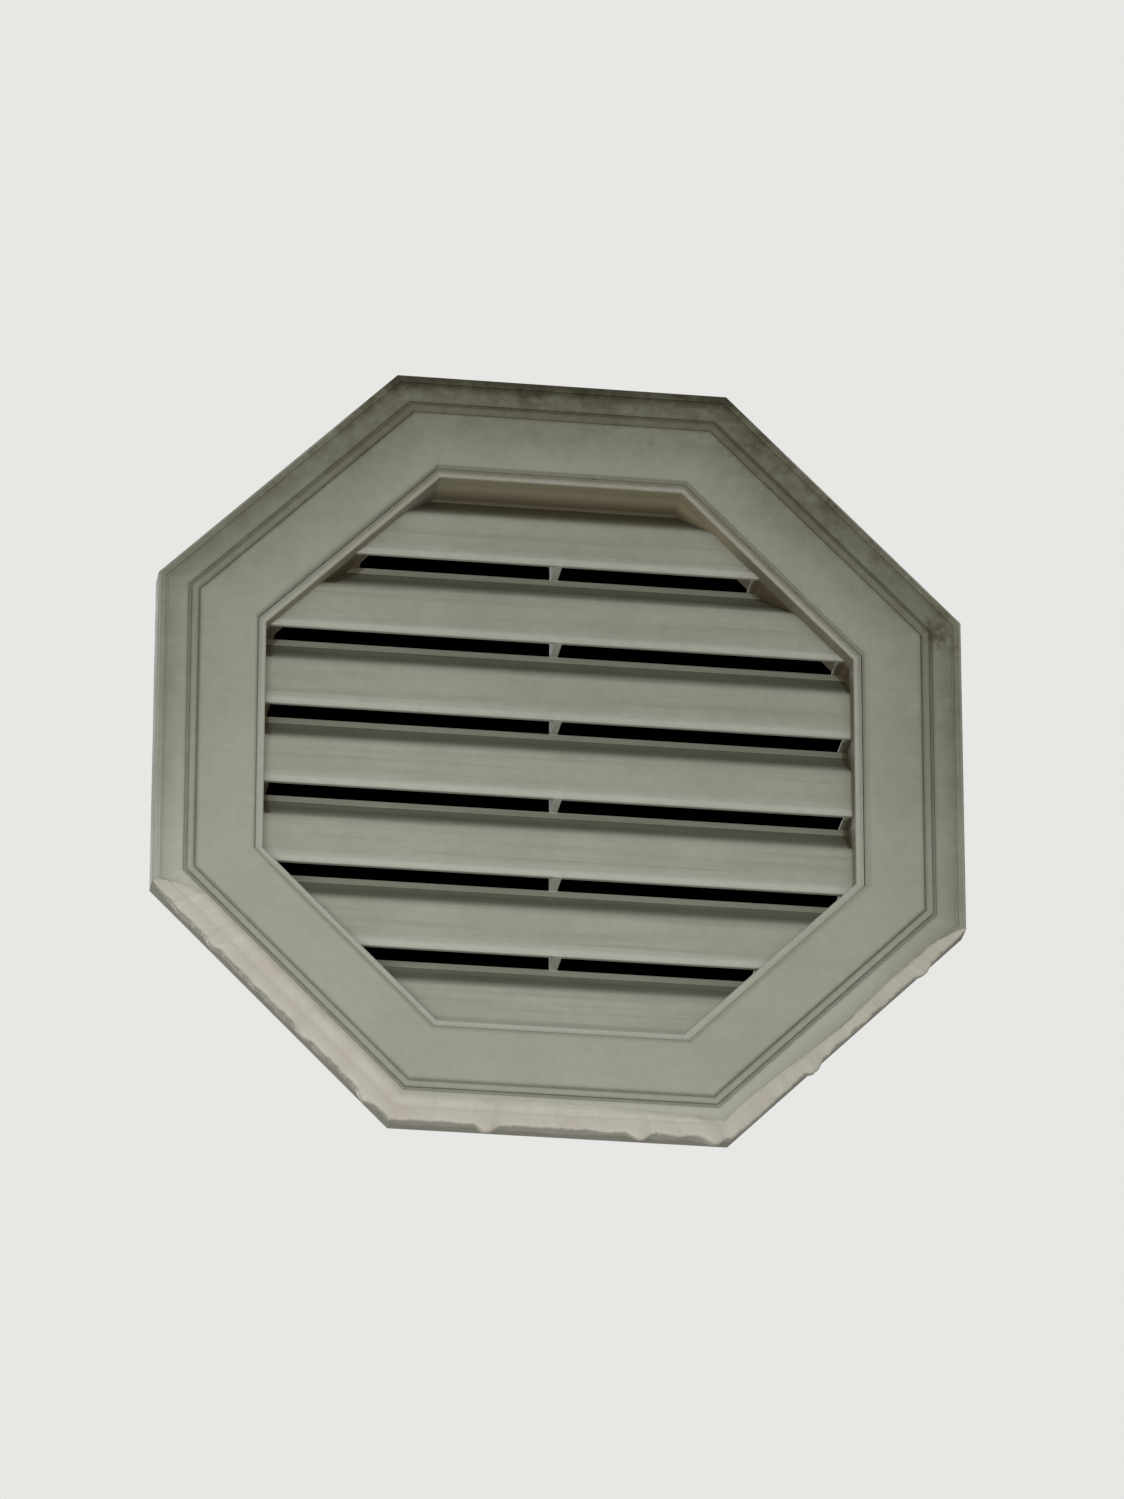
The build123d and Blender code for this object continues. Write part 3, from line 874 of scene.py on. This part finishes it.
def world():
    """Even light, and a pale background for the view."""
    studio = bpy.data.worlds.new("studio")
    bpy.context.scene.world = studio
    studio.use_nodes = True
    tree = studio.node_tree
    tree.nodes.clear()
    light = tree.nodes.new("ShaderNodeBackground")
    light.inputs["Color"].default_value = (1.0, 1.0, 1.0, 1.0)
    light.inputs["Strength"].default_value = EVEN_LIGHT
    seen = tree.nodes.new("ShaderNodeBackground")
    seen.inputs["Color"].default_value = colour4(BACKGROUND)
    seen.inputs["Strength"].default_value = 1.0
    path = tree.nodes.new("ShaderNodeLightPath")
    mixed = tree.nodes.new("ShaderNodeMixShader")
    output = tree.nodes.new("ShaderNodeOutputWorld")
    tree.links.new(path.outputs["Is Camera Ray"], mixed.inputs[0])
    tree.links.new(light.outputs[0], mixed.inputs[1])
    tree.links.new(seen.outputs[0], mixed.inputs[2])
    tree.links.new(mixed.outputs[0], output.inputs[0])


def lamp(name, place, size, power):
    """Soft square lamp that faces the vent and doesn't show itself."""
    data = bpy.data.lights.new(name, "AREA")
    data.size = size
    data.energy = power
    added = bpy.data.objects.new(name, data)
    added.location = place
    added.rotation_mode = "QUATERNION"
    added.rotation_quaternion = (VIEW_CENTRE - Vector(place)).to_track_quat("-Z", "Y")
    added.visible_camera = False
    bpy.context.scene.collection.objects.link(added)


def camera():
    """Camera where the photograph was taken from, turned straight at the vent."""
    ahead = Vector((
        sin(VIEW_AZIMUTH) * cos(VIEW_RISE), cos(VIEW_AZIMUTH) * cos(VIEW_RISE), sin(VIEW_RISE),
    ))
    level = Vector((cos(VIEW_AZIMUTH), -sin(VIEW_AZIMUTH), 0))
    upright = level.cross(ahead)
    right = cos(VIEW_ROLL) * level + sin(VIEW_ROLL) * upright
    up = cos(VIEW_ROLL) * upright - sin(VIEW_ROLL) * level
    place = VIEW_CENTRE + VIEW_ASIDE.x * right + VIEW_ASIDE.y * up - VIEW_ASIDE.z * ahead
    ahead = (VIEW_CENTRE - place).normalized()
    right = ahead.cross(up).normalized()
    up = right.cross(ahead)
    data = bpy.data.cameras.new("view")
    data.sensor_width = SENSOR_WIDTH
    data.lens = PHOTO_LENS * CLOSER
    data.clip_start = CLIP_START
    data.clip_end = CLIP_END
    added = bpy.data.objects.new("view", data)
    added.matrix_world = Matrix((
        (right.x, up.x, -ahead.x, place.x),
        (right.y, up.y, -ahead.y, place.y),
        (right.z, up.z, -ahead.z, place.z),
        (0, 0, 0, 1),
    ))
    bpy.context.scene.collection.objects.link(added)
    bpy.context.scene.camera = added


def dress(node, material):
    """Gives a solid its material."""
    mesh = frame["nodes"][node].data
    mesh.materials.clear()
    mesh.materials.append(material)


camera()
world()
for name, (place, size, power) in LAMPS.items():
    lamp(name, place, size, power)
floor()
dark_attic()

panel_plastic = weathered_plastic("panel_plastic", PANEL_STREAKS)
ring_plastic = weathered_plastic("ring_plastic", RING_STREAKS)
dress("vent_frame", panel_plastic)
for louvre in LOUVRES:
    dress(louvre, panel_plastic)
dress("trim_ring", ring_plastic)
insect_screen(screen_plastic())
sealant_smear(cured_sealant())

bpy.context.scene.view_settings.view_transform = "Standard"
